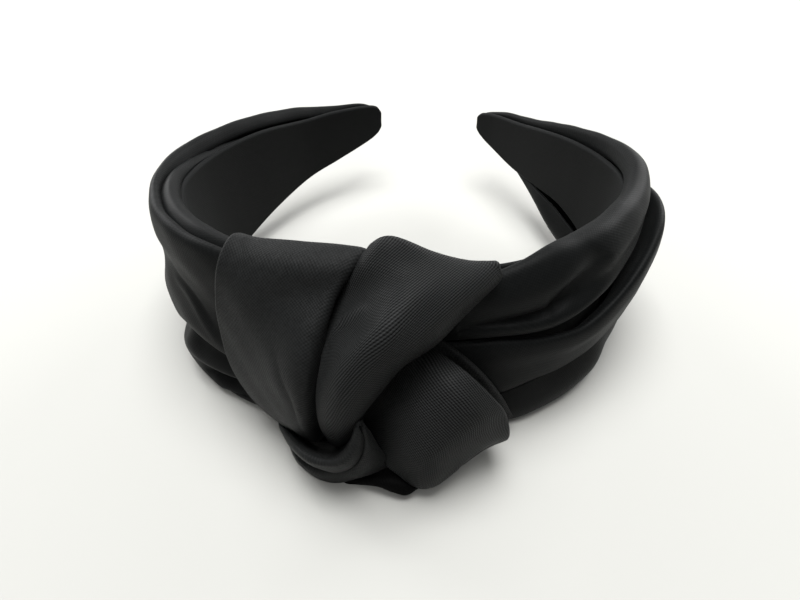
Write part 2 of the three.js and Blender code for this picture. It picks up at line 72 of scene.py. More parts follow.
def line_weights(at: Array, t: Array) -> Array:
    """Weights that carry values known at the places `at` to the places `t`, along a smooth line.

    With w the share of the way from knot i to knot i + 1 and h the distance between them, the
    value is (2w^3 - 3w^2 + 1) y_i + (3w^2 - 2w^3) y_i+1 + h (w^3 - 2w^2 + w) m_i
    + h (w^3 - w^2) m_i+1, where the slope m of a knot is the rise over the run between its
    two neighbours.

    Args:
        at: Rising places of the knots.
        t: Places to work the line out at.

    Returns:
        One row for each place in t and one column for each knot.
    """
    count = len(at)
    knots = np.arange(count)
    before, after = np.maximum(knots - 1, 0), np.minimum(knots + 1, count - 1)
    slope = np.zeros((count, count))
    slope[knots, after] += 1 / (at[after] - at[before])
    slope[knots, before] -= 1 / (at[after] - at[before])
    i = np.clip(np.searchsorted(at, t, side="right") - 1, 0, count - 2)
    h = (at[i + 1] - at[i])[:, None]
    w = np.clip((t[:, None] - at[i][:, None]) / h, 0, 1)
    value = np.eye(count)
    return (
        (2 * w**3 - 3 * w**2 + 1) * value[i]
        + (3 * w**2 - 2 * w**3) * value[i + 1]
        + h * (w**3 - 2 * w**2 + w) * slope[i]
        + h * (w**3 - w**2) * slope[i + 1]
    )


def eased(last: float, pieces: int, crowding: float = 0.8) -> Array:
    """Places from 0 to last that crowd at both ends, where a folded border turns tightly.

    Formula: last times (s - crowding sin(2 pi s) / 2 pi), for s evenly from 0 to 1.

    Args:
        last: The last place.
        pieces: Number of steps.
        crowding: From 0, even, to 1, where the end steps shrink to nothing.

    Returns:
        The places, one more than there are steps.
    """
    s = np.linspace(0, 1, pieces + 1)
    return last * (s - crowding * np.sin(2 * np.pi * s) / (2 * np.pi))


def run_length(grid: Array, axis: int) -> Array:
    """Distance run along the grid's lines from their first point, by summing the steps.

    Args:
        grid: Points as rows, columns and x, y, z.
        axis: 0 to run down the rows, 1 to run across the columns.

    Returns:
        The distance at each point.
    """
    steps = np.linalg.norm(np.diff(grid, axis=axis), axis=2)
    pad = ((1, 0), (0, 0)) if axis == 0 else ((0, 0), (1, 0))
    return np.pad(np.cumsum(steps, axis=axis), pad)


def facing(grid: Array) -> Array:
    """Unit normals of a grid of points: the cross product of its steps across and down.

    Args:
        grid: Points as rows, columns and x, y, z.

    Returns:
        The normal at each point.
    """
    down, across = np.gradient(grid, axis=0), np.gradient(grid, axis=1)
    normal = np.cross(across, down)
    return normal / np.maximum(np.linalg.norm(normal, axis=2, keepdims=True), TINY)


@dataclass(frozen=True)
class Crease:
    """A ridge or a valley that runs over a piece of cloth on a curve through three places.

    Attributes:
        places: Row and column of the start, the middle and the end in the piece's table.
        width: Half width in millimetres, where the profile has fallen to about a third.
        height: Height in millimetres at the middle, below 0 for a valley.
        sharpness: 2 for a soft swell, 1 for a creased line.
    """

    places: tuple[float, float, float, float, float, float]
    width: float
    height: float
    sharpness: float = 2.0

    def track(self, count: int = 48) -> Array:
        """Row and column along the crease: the quadratic through its three places.

        Args:
            count: Number of points along it.

        Returns:
            One row and column for each point.
        """
        s = np.linspace(0, 1, count)[:, None]
        start, middle, end = np.array(self.places).reshape(3, 2)
        return (2 * s - 1) * (s - 1) * start + 4 * s * (1 - s) * middle + s * (2 * s - 1) * end

    def lift(self, grid: Array, line: Array) -> Array:
        """Height that the crease adds at each point of a grid.

        Formula: height times exp(-(d / width)^sharpness) times sin(pi s)^0.6, with d the
        distance to the crease's line and s the share of the line where that is met.

        Args:
            grid: Points of the cloth.
            line: Points along the crease.

        Returns:
            The height at each point, in millimetres.
        """
        away = np.linalg.norm(grid[:, :, None, :] - line[None, None], axis=3)
        nearest = away.argmin(axis=2)
        s = nearest / (len(line) - 1)
        profile = np.exp(-((away.min(axis=2) / self.width) ** self.sharpness))
        return self.height * profile * np.sin(np.pi * s) ** 0.6


# -------------------------------- finishes

def shade(code: str, alpha: float = 1.0) -> tuple[float, float, float, float]:
    """Linear colour of an sRGB hex code such as "#1c1d1d".

    Formula for each channel c: c / 12.92 up to 0.04045, or else ((c + 0.055) / 1.055)^2.4.

    Args:
        code: Hash sign and six hex digits.
        alpha: Opacity.

    Returns:
        Red, green, blue and alpha from 0 to 1.
    """
    c = np.array([int(code[i:i + 2], 16) for i in (1, 3, 5)]) / 255
    linear = np.where(c <= 0.04045, c / 12.92, ((c + 0.055) / 1.055) ** 2.4)
    return (float(linear[0]), float(linear[1]), float(linear[2]), alpha)


def add_node(
    tree: bpy.types.NodeTree,
    kind: str,
    settings: dict[str, object] | None = None,
    values: dict[str | int, object] | None = None,
    links: dict[str | int, bpy.types.NodeSocket] | None = None,
) -> bpy.types.Node:
    """Adds a node with its settings, the values of its sockets and the links into them.

    Args:
        tree: Node tree to add to.
        kind: Blender's name of the node.
        settings: Properties of the node itself.
        values: Values for input sockets, by name or number.
        links: Output sockets to link into input sockets, by name or number.

    Returns:
        The node.
    """
    node = tree.nodes.new(kind)
    for name, value in (settings or {}).items():
        setattr(node, name, value)
    for socket, value in (values or {}).items():
        node.inputs[socket].default_value = value
    for socket, source in (links or {}).items():
        tree.links.new(source, node.inputs[socket])
    return node


@dataclass(frozen=True)
class SatinTwill:
    """Polyester satin twill, woven from bright filament yarn and heat set.

    The floats lie side by side in fine lines, so the face shows faint ribs, a soft sheen on
    folds and almost black hollows.

    Attributes:
        name: Name of the material.
        base: Colour of the sunken threads.
        float_shade: Colour of the floats on top.
        pitch: Distance between two lines of floats in millimetres, drawn a little coarser
            than the real 0.48 mm.
        slant: Angle of the lines to the piece's width, in degrees.
        crossing: Share of the threads that cross the floats, from 0 to 1.
        grain: Share of the uneven cloud of lighter and darker yarn, from 0 to 1.
        relief: Height of the floats in millimetres.
        smooth: Roughness of the floats.
        rough: Roughness of the sunken threads.
        sheen: Weight of the soft sheen.
        specular: Specular level of the satin's gloss.
        ior: Index of refraction of the yarn.
        sheen_rough: Roughness of the sheen.
        sheen_tint: Colour of the sheen.
    """

    name: str
    base: str = "#010101"
    float_shade: str = "#2b2c2c"
    pitch: float = 0.56
    slant: float = 103.0
    crossing: float = 0.25
    grain: float = 0.15
    relief: float = 0.14
    smooth: float = 0.4
    rough: float = 0.56
    sheen: float = 0.016
    specular: float = 0.055
    ior: float = 1.5
    sheen_rough: float = 0.45
    sheen_tint: str = "#c9cccc"

    def material(self) -> bpy.types.Material:
        """Builds the material out of its threads, unless an earlier piece has built it.

        Returns:
            The material.
        """
        if self.name in bpy.data.materials:
            return bpy.data.materials[self.name]
        made = bpy.data.materials.new(self.name)
        made.use_nodes = True
        tree = made.node_tree
        tree.nodes.clear()
        flat = add_node(tree, "ShaderNodeUVMap", {"uv_map": "cloth_mm"}).outputs["UV"]
        floats = self.lines(tree, flat, self.slant, self.pitch)
        across = self.lines(tree, flat, self.slant + 90, self.pitch * WEFT_SPACING)
        weave = add_node(
            tree, "ShaderNodeMix", {"data_type": "FLOAT"}, {"Factor": self.crossing},
            {2: floats, 3: across},
        ).outputs[0]
        place = add_node(tree, "ShaderNodeTexCoord").outputs["Object"]
        cloud = add_node(
            tree, "ShaderNodeTexNoise", {},
            {"Scale": YARN_CLOUDS / MM, "Detail": 3.0, "Roughness": 0.7}, {"Vector": place},
        ).outputs["Fac"]
        blend = add_node(
            tree, "ShaderNodeMix", {"data_type": "FLOAT"}, {"Factor": self.grain},
            {2: weave, 3: cloud},
        ).outputs[0]
        colour = add_node(
            tree, "ShaderNodeMix", {"data_type": "RGBA"},
            {6: shade(self.base), 7: shade(self.float_shade)}, {0: blend},
        ).outputs[2]
        gloss = add_node(
            tree, "ShaderNodeMix", {"data_type": "FLOAT"}, {2: self.rough, 3: self.smooth},
            {"Factor": blend},
        ).outputs[0]
        bump = add_node(
            tree, "ShaderNodeBump", {}, {"Strength": 1.0, "Distance": self.relief * MM},
            {"Height": blend},
        ).outputs["Normal"]
        surface = add_node(
            tree, "ShaderNodeBsdfPrincipled", {},
            {
                "IOR": self.ior, "Specular IOR Level": self.specular, "Sheen Weight": self.sheen,
                "Sheen Roughness": self.sheen_rough, "Sheen Tint": shade(self.sheen_tint),
            },
            {"Base Color": colour, "Roughness": gloss, "Normal": bump},
        )
        add_node(tree, "ShaderNodeOutputMaterial", {}, {}, {"Surface": surface.outputs["BSDF"]})
        return made

    @staticmethod
    def lines(
        tree: bpy.types.NodeTree, flat: bpy.types.NodeSocket, slant: float, pitch: float
    ) -> bpy.types.NodeSocket:
        """Even rounded lines over the flat cloth.

        A band texture repeats every 2 pi / (20 scale), so scale is 2 pi / (20 pitch). Each
        line wanders a little, and rises and falls smoothly.

        Args:
            tree: Node tree to add to.
            flat: Place on the flat cloth in millimetres.
            slant: Angle of the lines in degrees.
            pitch: Distance between two lines in millimetres.

        Returns:
            Height of the lines, from 0 to 1.
        """
        turned = add_node(
            tree, "ShaderNodeMapping", {}, {"Rotation": (0, 0, math.radians(slant))},
            {"Vector": flat},
        ).outputs["Vector"]
        wave = add_node(
            tree, "ShaderNodeTexWave", {"wave_type": "BANDS", "bands_direction": "X"},
            {"Scale": 2 * math.pi / (20 * pitch), **WANDER}, {"Vector": turned},
        ).outputs["Fac"]
        return add_node(
            tree, "ShaderNodeMapRange", {"interpolation_type": "SMOOTHSTEP"},
            FLOAT_SIDE, {"Value": wave},
        ).outputs["Result"]


class Satin(Enum):
    """The satin of a piece, by how its weave meets the eye."""

    # Laid double and pulled flat: the floats stand out as clear ribs with a soft gleam.
    RIBBED = SatinTwill("satin_twill_ribbed")
    # Seen across the floats: an even fine grain and a duller gleam.
    FINE = SatinTwill("satin_twill_fine", base="#070707", float_shade="#262727", slant=45.0,
                      crossing=0.5, grain=0.6, relief=0.12)
    # Stretched over the hoop: the weave almost melts into a smooth charcoal face.
    ARM = SatinTwill("satin_twill_arms", base="#070808", float_shade="#161717", slant=60.0,
                     crossing=0.5, grain=0.5, relief=0.05, smooth=0.45, rough=0.54,
                     specular=0.05)
    # Painted shade: a nearly black copy of the same satin, with no gleam, laid on the tuck that is folded
    # in under the knot, where shade falls.
    PAINTED_SHADE = SatinTwill("satin_painted_shade_fold", base="#020202", float_shade="#050505", slant=45.0,
                        crossing=0.5, grain=0.4, relief=0.04, smooth=0.62, rough=0.7, sheen=0.0,
                        specular=0.04)
    # Glued flat over the core: matt, even and a little paler in the hollow of the hoop.
    LINING = SatinTwill("satin_lining", base="#0a0b0b", float_shade="#171818", slant=45.0,
                        crossing=0.5, grain=0.5, relief=0.03, smooth=0.58, rough=0.62)


# -------------------------------- cloth walls

# Slow swells of the cloth. columns: wavelength, lean with height, phase
SWELLS: Table = ((17.0, 0.6, 0.7), (23.0, -0.8, 1.9))


@dataclass(frozen=True)
class Cloth:
    """A piece of folded cloth: a closed wall about a grid of middle points.

    Attributes:
        node: CAD node that it stands for.
        flat: Width and length of the flat cut in metres, and its area in square metres.
        slot: Material slot of the record.
        finish: Its satin.
        thickness: Thickness of the wall in millimetres.
        held: How the sheet is held.
        rests_on: What it lies on.
        lip: Distance over which the outer face rounds off into a border, in millimetres.
        creases: Ridges and valleys.
        unevenness: Height of the slow swells of the cloth in millimetres.
        rib_origin: Share of the width where the weave's lines follow the piece's length.
    """

    node: str
    flat: tuple[float, float, float]
    slot: str = "satin"
    finish: Satin = Satin.ARM
    thickness: float = 1.6
    held: str = "folded"
    rests_on: tuple[str, ...] = ("lined_hoop",)
    lip: float = 2.0
    creases: tuple[Crease, ...] = ()
    unevenness: float = 0.12
    rib_origin: float = 0.5

    def swells(self, grid: Array) -> Array:
        """Slow uneven swells of the cloth.

        Formula: unevenness times two waves, sin(2 pi (run + lean z) / wavelength + phase),
        where one runs with x and the other with y.

        Args:
            grid: Points of the cloth.

        Returns:
            The height at each point, in millimetres.
        """
        x, y, z = np.moveaxis(grid, 2, 0)
        first, second = (np.sin(2 * np.pi * (run + lean * z) / wavelength + phase)
                         for run, (wavelength, lean, phase) in zip((x, y), SWELLS))
        return self.unevenness * first * second

    def creased(self, middle: Array, points_at: Callable[[Array, Array], Array]) -> Array:
        """Lifts a smooth grid along its own normals by the sum of its swells and creases.

        Args:
            middle: Grid of middle points in millimetres.
            points_at: Works out the points at rows and columns of the piece's table.

        Returns:
            The grid with its creases.
        """
        lift = self.swells(middle)
        for crease in self.creases:
            track = crease.track()
            line = points_at(track[:, 0], track[:, 1])
            line = line[np.arange(len(track)), np.arange(len(track))]
            lift = lift + crease.lift(middle, line)
        return middle + facing(middle) * lift[:, :, None]

    def wall(self, middle: Array) -> tuple[Array, Array, Array]:
        """The closed wall about a grid of middle points.

        The half thickness h is thickness / 2 times r(a) r(b), with a and b the distances to
        the nearest border each way and r(d) = sqrt(1 - (1 - min(d / lip, 1))^2), so both faces
        meet in a rounded border. The lip of the back face is half the thickness.

        Args:
            middle: Grid of middle points, in millimetres.

        Returns:
            Points, quads, and the place of each point on the flat cloth in millimetres.
        """
        rows, columns = middle.shape[:2]
        down, across = run_length(middle, 0), run_length(middle, 1)
        normal = facing(middle)
        border = [np.minimum(run, np.max(run, axis=axis, keepdims=True) - run)
                  for axis, run in enumerate((down, across))]

        def rounded(lip: float) -> Array:
            """Share r(a) r(b) of the half thickness that is left near the borders."""
            share = [np.sqrt(1 - (1 - np.minimum(d / lip, 1)) ** 2) for d in border]
            return share[0] * share[1]

        half = self.thickness / 2
        front = middle + normal * (half * rounded(self.lip))[:, :, None]
        back = middle - normal * (half * rounded(half))[:, :, None]
        inner = np.zeros((rows, columns), bool)
        inner[1:-1, 1:-1] = True
        front_index = np.arange(rows * columns).reshape(rows, columns)
        back_index = front_index.copy()
        back_index[inner] = rows * columns + np.arange(inner.sum())
        points = np.vstack([front.reshape(-1, 3), back[inner]])
        cells = [np.stack([i[:-1, :-1], i[:-1, 1:], i[1:, 1:], i[1:, :-1]], axis=2).reshape(-1, 4)
                 for i in (front_index, back_index)]
        quads = np.vstack([cells[0], cells[1][:, ::-1]])
        origin = across[:, [round(self.rib_origin * (columns - 1))]]
        place = np.stack([down, across - origin], axis=2)
        place = np.vstack([place.reshape(-1, 2), place[inner]])
        return points, quads, place

    def make(self, middle: Array) -> bpy.types.Object:
        """Args:
            middle: Grid of middle points in millimetres, creases already in it.

        Returns:
            The finished piece.
        """
        points, quads, place = self.wall(middle)
        points = (points - CENTRE) * MM
        points[:, 2] = np.maximum(points[:, 2], 0)
        mesh = bpy.data.meshes.new(self.node)
        mesh.from_pydata(points.tolist(), [], quads.tolist())
        mesh.polygons.foreach_set("use_smooth", np.ones(len(quads), bool))
        layer = mesh.uv_layers.new(name="cloth_mm")
        layer.data.foreach_set("uv", place[quads.ravel()].ravel())
        mesh.materials.append(self.finish.value.material())
        mesh.update()
        piece = bpy.data.objects.new(f"{self.node}_cloth", mesh)
        bpy.context.scene.collection.objects.link(piece)
        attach(piece, BODY)
        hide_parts(self.node)
        return piece

    def declare(self, piece: bpy.types.Object) -> None:
        """Takes the finished piece and does nothing with it.

        Args:
            piece: The finished piece; not used.
        """


# -------------------------------- the hoop

# Inner face of the hoop seen from above, left tip to right tip.
# columns: x, y
HOOP_PLAN: Table = (
    (-8.05, 73.23), (-26, 59.5), (-37, 49.5), (-48.5, 34), (-56, 21), (-60.8, 8), (-62, -4),
    (-60, -16), (-54.5, -28), (-43, -39.5), (-23, -48), (0, -51), (23, -48), (42, -38),
    (53.5, -26.5), (60.5, -14.5), (62.5, -3), (60.5, 9), (56, 22), (50, 36), (43, 51), (36, 64),
    (30, 73),
)

# columns: along (0 left tip, 1 right tip), z of the lower edge, z of the upper edge
HOOP_EDGES: Table = (
    (0, 26, 32),
    (0.006, 23.4, 34.8),
    (0.02, 21.2, 36.4),
    (0.06, 17.8, 38.2),
    (0.1, 15.3, 39.2),
    (0.155, 11, 43),
    (0.2, 7.3, 45),
    (0.25, 4.6, 47),
    (0.3, 3.2, 50.2),
    (0.36, 2.7, 52.5),
    (0.42, 2.7, 54),
    (0.5, 2.7, 54.4),
    (0.6, 2.7, 52.2),
    (0.66, 4, 52.2),
    (0.7, 7.6, 51.6),
    (0.752, 13.4, 49.4),
    (0.81, 18.3, 47.1),
    (0.845, 20.3, 45.2),
    (0.88, 19.6, 42.4),
    (0.93, 18.8, 37.8),
    (0.975, 21.2, 34.6),
    (0.993, 23.4, 32.6),
    (1, 25.5, 30.4),
)


@dataclass(frozen=True)
class Hoop:
    """The stiff core under its lining: a flat band that follows a plan line.

    Attributes:
        plan: Inner face seen from above.
        edges: Lower and upper edge along the band.
        thickness: Thickness of the core with its lining, in millimetres.
        along_steps: Steps along the band.
        across_steps: Steps across the band.
    """

    plan: Table = HOOP_PLAN
    edges: Table = HOOP_EDGES
    thickness: float = 2.2
    along_steps: int = 420
    across_steps: int = 60

    def at(self, along: Array, out: Array, z: Array) -> Array:
        """Points at `along` the hoop, `out` from its inner face and z up.

        The plan line is p(along), its unit tangent t, and the point p + out (t_y, -t_x).

        Args:
            along: Share of the plan line, 0 at the left tip, one for each row.
            out: Distance from the inner face, as rows and columns.
            z: Height, as rows and columns.

        Returns:
            The points as rows, columns and x, y, z.
        """
        plan = np.array(self.plan)
        place = np.concatenate([[0], np.cumsum(np.linalg.norm(np.diff(plan, axis=0), axis=1))])
        place = place / place[-1]
        p = line_weights(place, along) @ plan
        ahead = line_weights(place, np.minimum(along + ASIDE, 1)) @ plan
        tangent = ahead - line_weights(place, np.maximum(along - ASIDE, 0)) @ plan
        tangent = tangent / np.linalg.norm(tangent, axis=1, keepdims=True)
        x = p[:, :1] + out * tangent[:, 1:]
        y = p[:, 1:] - out * tangent[:, :1]
        return np.stack([x, y, z], axis=2)

    def middle(self) -> Array:
        """Middle points of the band, halfway through it: z = high (1 - share) + low share.

        Returns:
            The points as rows, columns and x, y, z.
        """
        along = eased(1.0, self.along_steps, BORDER_CROWDING)
        table = np.array(self.edges)
        low, high = (line_weights(table[:, 0], along) @ table[:, 1:]).T
        share = eased(1.0, self.across_steps, BORDER_CROWDING)[None, :]
        z = high[:, None] * (1 - share) + low[:, None] * share
        return self.at(along, np.full_like(z, self.thickness / 2), z)

    def build(self) -> bpy.types.Object:
        """Builds the lined band.

        Returns:
            The finished piece.
        """
        cloth = Cloth("lined_hoop", (0.052, 0.366, 0.0135), "lining", Satin.LINING,
                      self.thickness, "stretched", (), lip=3.2, unevenness=0.05)
        piece = cloth.make(self.middle())
        cloth.declare(piece)
        return piece


@dataclass(frozen=True)
class ArmCloth(Cloth):
    """Cloth of an arm, from sections along the hoop.

    Attributes:
        table: Rows of along, then pairs of distance out and height.
        steps: Steps along and across.
    """

    table: Table = ()
    steps: tuple[int, int] = (260, 110)

    def grid(self, hoop: Hoop, rows: Array, columns: Array) -> Array:
        """Points at the given rows and columns, by smooth lines down and across the table.

        Args:
            hoop: The hoop that the sections stand on.
            rows: Row places, where a fraction lies between two rows.
            columns: Column places.

        Returns:
            The points as rows, columns and x, y, z.
        """
        table = np.array(self.table)
        count = len(table)
        along = np.interp(rows, np.arange(count), table[:, 0])
        down = line_weights(table[:, 0], along)
        pairs = table[:, 1:].reshape(count, -1, 2)
        across = line_weights(np.arange(pairs.shape[1], dtype=float), columns)
        section = np.einsum("ri,ijk,cj->rck", down, pairs, across)
        return hoop.at(along, section[:, :, 0], section[:, :, 1])

    def build(self, hoop: Hoop) -> bpy.types.Object:
        """Builds the piece over the hoop.

        Args:
            hoop: The hoop that the sections stand on.

        Returns:
            The finished piece.
        """
        table = np.array(self.table)
        along = table[0, 0] + eased(table[-1, 0] - table[0, 0], self.steps[0])
        rows = np.interp(along, table[:, 0], np.arange(len(table)))
        columns = eased((table.shape[1] - 1) / 2 - 1, self.steps[1])
        points_at = partial(self.grid, hoop)
        piece = self.make(self.creased(points_at(rows, columns), points_at))
        self.declare(piece)
        return piece


@dataclass(frozen=True)
class KnotCloth(Cloth):
    """Cloth of the knot, from sections in space.

    Attributes:
        table: Rows of x, y, z for each point of a section.
        steps: Steps down and across.
    """

    slot: str = "knot_satin"
    finish: Satin = Satin.FINE
    table: Table = ()
    steps: tuple[int, int] = (150, 110)

    def grid(self, rows: Array, columns: Array) -> Array:
        """Points at the given rows and columns, by smooth lines down and across the table.

        Args:
            rows: Row places, where a fraction lies between two rows.
            columns: Column places.

        Returns:
            The points as rows, columns and x, y, z.
        """
        points = np.array(self.table).reshape(len(self.table), -1, 3)
        down = line_weights(np.arange(points.shape[0], dtype=float), rows)
        across = line_weights(np.arange(points.shape[1], dtype=float), columns)
        return np.einsum("ri,ijk,cj->rck", down, points, across)

    def build(self) -> bpy.types.Object:
        """Builds the piece.

        Returns:
            The finished piece.
        """
        last_row, last_column = len(self.table) - 1, len(self.table[0]) // 3 - 1
        rows, columns = eased(last_row, self.steps[0]), eased(last_column, self.steps[1])
        piece = self.make(self.creased(self.grid(rows, columns), self.grid))
        self.declare(piece)
        return piece


# -------------------------------- the left arm

# columns: along, outer tuck, outer, crest, inner, inner low edge
LEFT_INNER_ROLL: Table = (
    (0.05, 3.6, 28.4, 3.8, 31.6, 3.2, 33.6, 2.7, 32.7, 3, 31),
    (0.1, 4.4, 31.6, 4.6, 34.8, 3.8, 36.8, 3.1, 35.9, 3.4, 34.2),
    (0.155, 4.8, 35.4, 5, 38.6, 3.9, 40.6, 3, 39.7, 3.3, 38),
    (0.2, 5, 38.4, 5.2, 41.6, 3.9, 43.6, 2.7, 42.7, 3, 41),
    (0.25, 5.3, 42.6, 5.5, 45.8, 3.9, 47.8, 2.2, 46.9, 2.5, 45.2),
    (0.3, 5.2, 47.2, 5.4, 50.4, 3.4, 52.4, 1.6, 51.5, 1.9, 49.8),
    (0.34, 5.3, 49.2, 5.5, 52.4, 3.5, 54.4, 1.5, 53.5, 1.8, 51.8),
    (0.38, 5.4, 50.4, 5.6, 53.6, 3.6, 55.6, 1.6, 54.7, 1.9, 53),
    (0.41, 5.2, 50.4, 5.4, 53.6, 3.6, 55.6, 1.8, 54.7, 2.1, 53),
)

# columns: along, edge, crest, shoulder, belly, crease, bulge, low, hem
LEFT_OUTER_FOLD: Table = (
    (0.004, 3.6, 32.4, 3.9, 32.8, 4.2, 32.4, 4.4, 31, 4.5, 28.6, 4.4, 26.6, 4.1, 25, 3.7, 24.4),
    (0.02, 3.5, 34.6, 3.9, 35.4, 4.4, 34.8, 5, 32, 5.2, 28.4, 5, 24.4, 4.6, 21.6, 3.8, 20.4),
    (0.06, 3.7, 35.2, 5.5, 37.4, 6.7, 36.7, 7, 33, 7, 27.6, 7, 22.6, 6.2, 17.6, 4.6, 16.6),
    (0.1, 3.5, 38.4, 5.6, 41, 7.1, 40.5, 7.8, 35.2, 7.9, 28, 7.8, 21, 7, 15.2, 5, 13.8),
    (0.155, 3.5, 42.4, 5.6, 45.3, 7.4, 44.6, 8.2, 37.4, 8.4, 30, 8.4, 21, 7.4, 11.6, 5.2, 9.8),
    (0.2, 3.7, 44.6, 5.8, 48, 7.5, 46.9, 8.4, 39.5, 8.6, 30, 9, 20, 8, 9.4, 5.6, 7),
    (0.25, 4.3, 46.4, 6, 50.2, 7.6, 49.4, 8.4, 40.6, 8.5, 30, 9.6, 20, 8.8, 9.6, 6, 6.2),
    (0.3, 5.8, 49, 6.5, 52.8, 7.8, 51.8, 8.4, 42.4, 8, 31, 10, 20.6, 9.4, 11, 7.4, 8.6),
    (0.34, 6.3, 50.8, 6.8, 54.4, 8.2, 53.4, 8.8, 47.8, 8.1, 40.6, 10.2, 30.8, 10.1, 21.4, 8.6, 17.8),
    (0.37, 6.4, 52, 6.9, 55.2, 8.4, 54.2, 8.9, 48.6, 8.2, 42, 8.4, 35.8, 10.4, 26.2, 8.8, 20.8),
    (0.4, 6.4, 52.4, 6.9, 55.6, 8.3, 54.6, 8.8, 48.8, 8.2, 41, 8.1, 32, 9.7, 23.6, 8.6, 20),
    (0.43, 5.8, 52.4, 6.3, 55, 7.3, 54, 7.7, 49, 7.7, 42, 7.9, 33, 7.9, 25, 7.7, 19.6),
    (0.47, 5, 52, 5.6, 54.4, 6.4, 53.4, 6.8, 49, 6.8, 42, 7, 33, 7, 25, 7, 19),
)

# columns: along, top, shoulder, bulge, pocket, lobe, hem
LEFT_LOWER_FOLD: Table = (
    (0.27, 5, 4.6, 5.6, 4, 6, 3.4, 6, 2.6, 5.6, 1.7, 4.8, 1.1),
    (0.3, 6.2, 7.4, 6.8, 6.4, 7.4, 5.4, 7.3, 4, 6.9, 2.4, 5.8, 1.1),
    (0.33, 7.1, 13.4, 8, 11.6, 9.4, 8.6, 9.6, 5.4, 8.6, 2.2, 6.2, 1.1),
    (0.355, 7.2, 20, 8, 17.6, 11.4, 13.2, 11, 8.2, 9.6, 2.4, 6.8, 1.1),
    (0.375, 7.2, 21.4, 7.8, 18.4, 11, 13, 8.2, 8.4, 9.8, 3.6, 6.6, 1.1),
    (0.395, 7, 20.6, 7.6, 17.6, 9.6, 12.8, 5.2, 9.4, 9.6, 4.4, 6.6, 1.1),
    (0.42, 6.2, 19.6, 6.8, 16.6, 8, 12.4, 5, 8.8, 8.8, 4.2, 6.6, 1.2),
    (0.45, 5.4, 18.6, 5.8, 15.6, 6.8, 11.8, 5, 8.4, 7.2, 4.2, 6, 1.5),
)

# Creases. columns: row and column of the start, middle and end; half width, height, sharpness
OUTER_CREASES: tuple[Crease, ...] = (
    Crease((8.4, 4.0, 9.2, 4.8, 9.9, 5.5), 1.5, -0.4, 1.8),
    Crease((8.5, 4.5, 9.25, 5.25, 9.9, 5.85), 1.3, 0.4, 1.6),
)
LOBE_CREASES: tuple[Crease, ...] = (
    Crease((3.6, 3.5, 4.4, 3.1, 5.4, 2.6), 1.2, -0.9, 1.6),
    Crease((4.4, 4.4, 4.9, 4.1, 5.6, 3.8), 0.9, -0.9, 1.5),
)


@dataclass(frozen=True)
class LeftArm:
    """The left arm's cloth: a rim roll, the broad outer fold and the lower fold."""

    inner_roll: ArmCloth = ArmCloth(
        "left_inner_roll", (0.0105, 0.14, 0.0013), thickness=1.4, table=LEFT_INNER_ROLL,
        steps=(240, 50))
    outer_fold: ArmCloth = ArmCloth(
        "left_outer_fold", (0.052, 0.19, 0.0074), table=LEFT_OUTER_FOLD, creases=OUTER_CREASES)
    lower_fold: ArmCloth = ArmCloth(
        "left_lower_fold", (0.027, 0.078, 0.0013), table=LEFT_LOWER_FOLD, steps=(160, 90),
        creases=LOBE_CREASES)

    def build(self, hoop: Hoop) -> list[bpy.types.Object]:
        """Builds the arm's pieces."""
        return [piece.build(hoop) for piece in (self.inner_roll, self.outer_fold, self.lower_fold)]


# -------------------------------- the right arm

# columns: along, edge, crest, shoulder, belly, groove, roll, hem
RIGHT_BROAD_FOLD: Table = (
    (0.535, 3.4, 48, 4.4, 49, 5.6, 47.6, 6.2, 44, 6.2, 41, 6.4, 38.4, 6, 35.4),
    (0.58, 3.4, 50.4, 4, 52.4, 5.6, 51.4, 7.4, 47, 7, 41, 8, 38.6, 7.6, 35.8),
    (0.61, 1.8, 53, 3, 55, 5.6, 54, 8.4, 48.6, 7.6, 40.6, 9.3, 37.6, 8.5, 34.6),
    (0.635, 0.2, 52.8, 1.8, 54.6, 5.4, 54.2, 8.7, 49.4, 8.5, 43.4, 10.5, 40, 9.6, 37.6),
    (0.66, -0.2, 52.6, 1.6, 54.4, 5.2, 54.4, 8.6, 50, 8.6, 45.8, 9.6, 42.2, 8.5, 39.8),
    (0.69, -0.2, 52.4, 1.6, 54.2, 4.6, 53.8, 7.3, 50.2, 7.4, 47.2, 8.1, 44.8, 7, 43),
    (0.73, -0.1, 51, 1.8, 52.9, 4.6, 52.6, 6.4, 50, 6.4, 47.6, 6.4, 45.8, 5.2, 44.4),
    (0.765, 1, 49.6, 3, 53.2, 6, 52.8, 7.6, 49, 7.6, 45.6, 7.2, 43.2, 6.2, 42),
    (0.81, 2.9, 46, 4.3, 50.6, 6.2, 49.8, 7.4, 46, 7.7, 42, 7.7, 39, 7.2, 36.4),
    (0.865, 3.4, 42, 4.3, 45.4, 5.7, 44.8, 6.8, 41, 7, 36.6, 7, 32.6, 6.6, 28.6),
    (0.92, 3.4, 36.8, 4.1, 39.2, 5.2, 38.4, 5.8, 34.6, 6, 30.8, 6, 26.8, 5.6, 23.2),
    (0.965, 3.3, 33.4, 3.8, 35.2, 4.5, 34.4, 4.9, 31.2, 5, 28.4, 5, 25.4, 4.5, 22.4),
    (0.997, 3.4, 30.4, 3.6, 30.8, 3.9, 30.2, 4.1, 28.9, 4.1, 27.6, 4, 26.4, 3.6, 25.4),
)

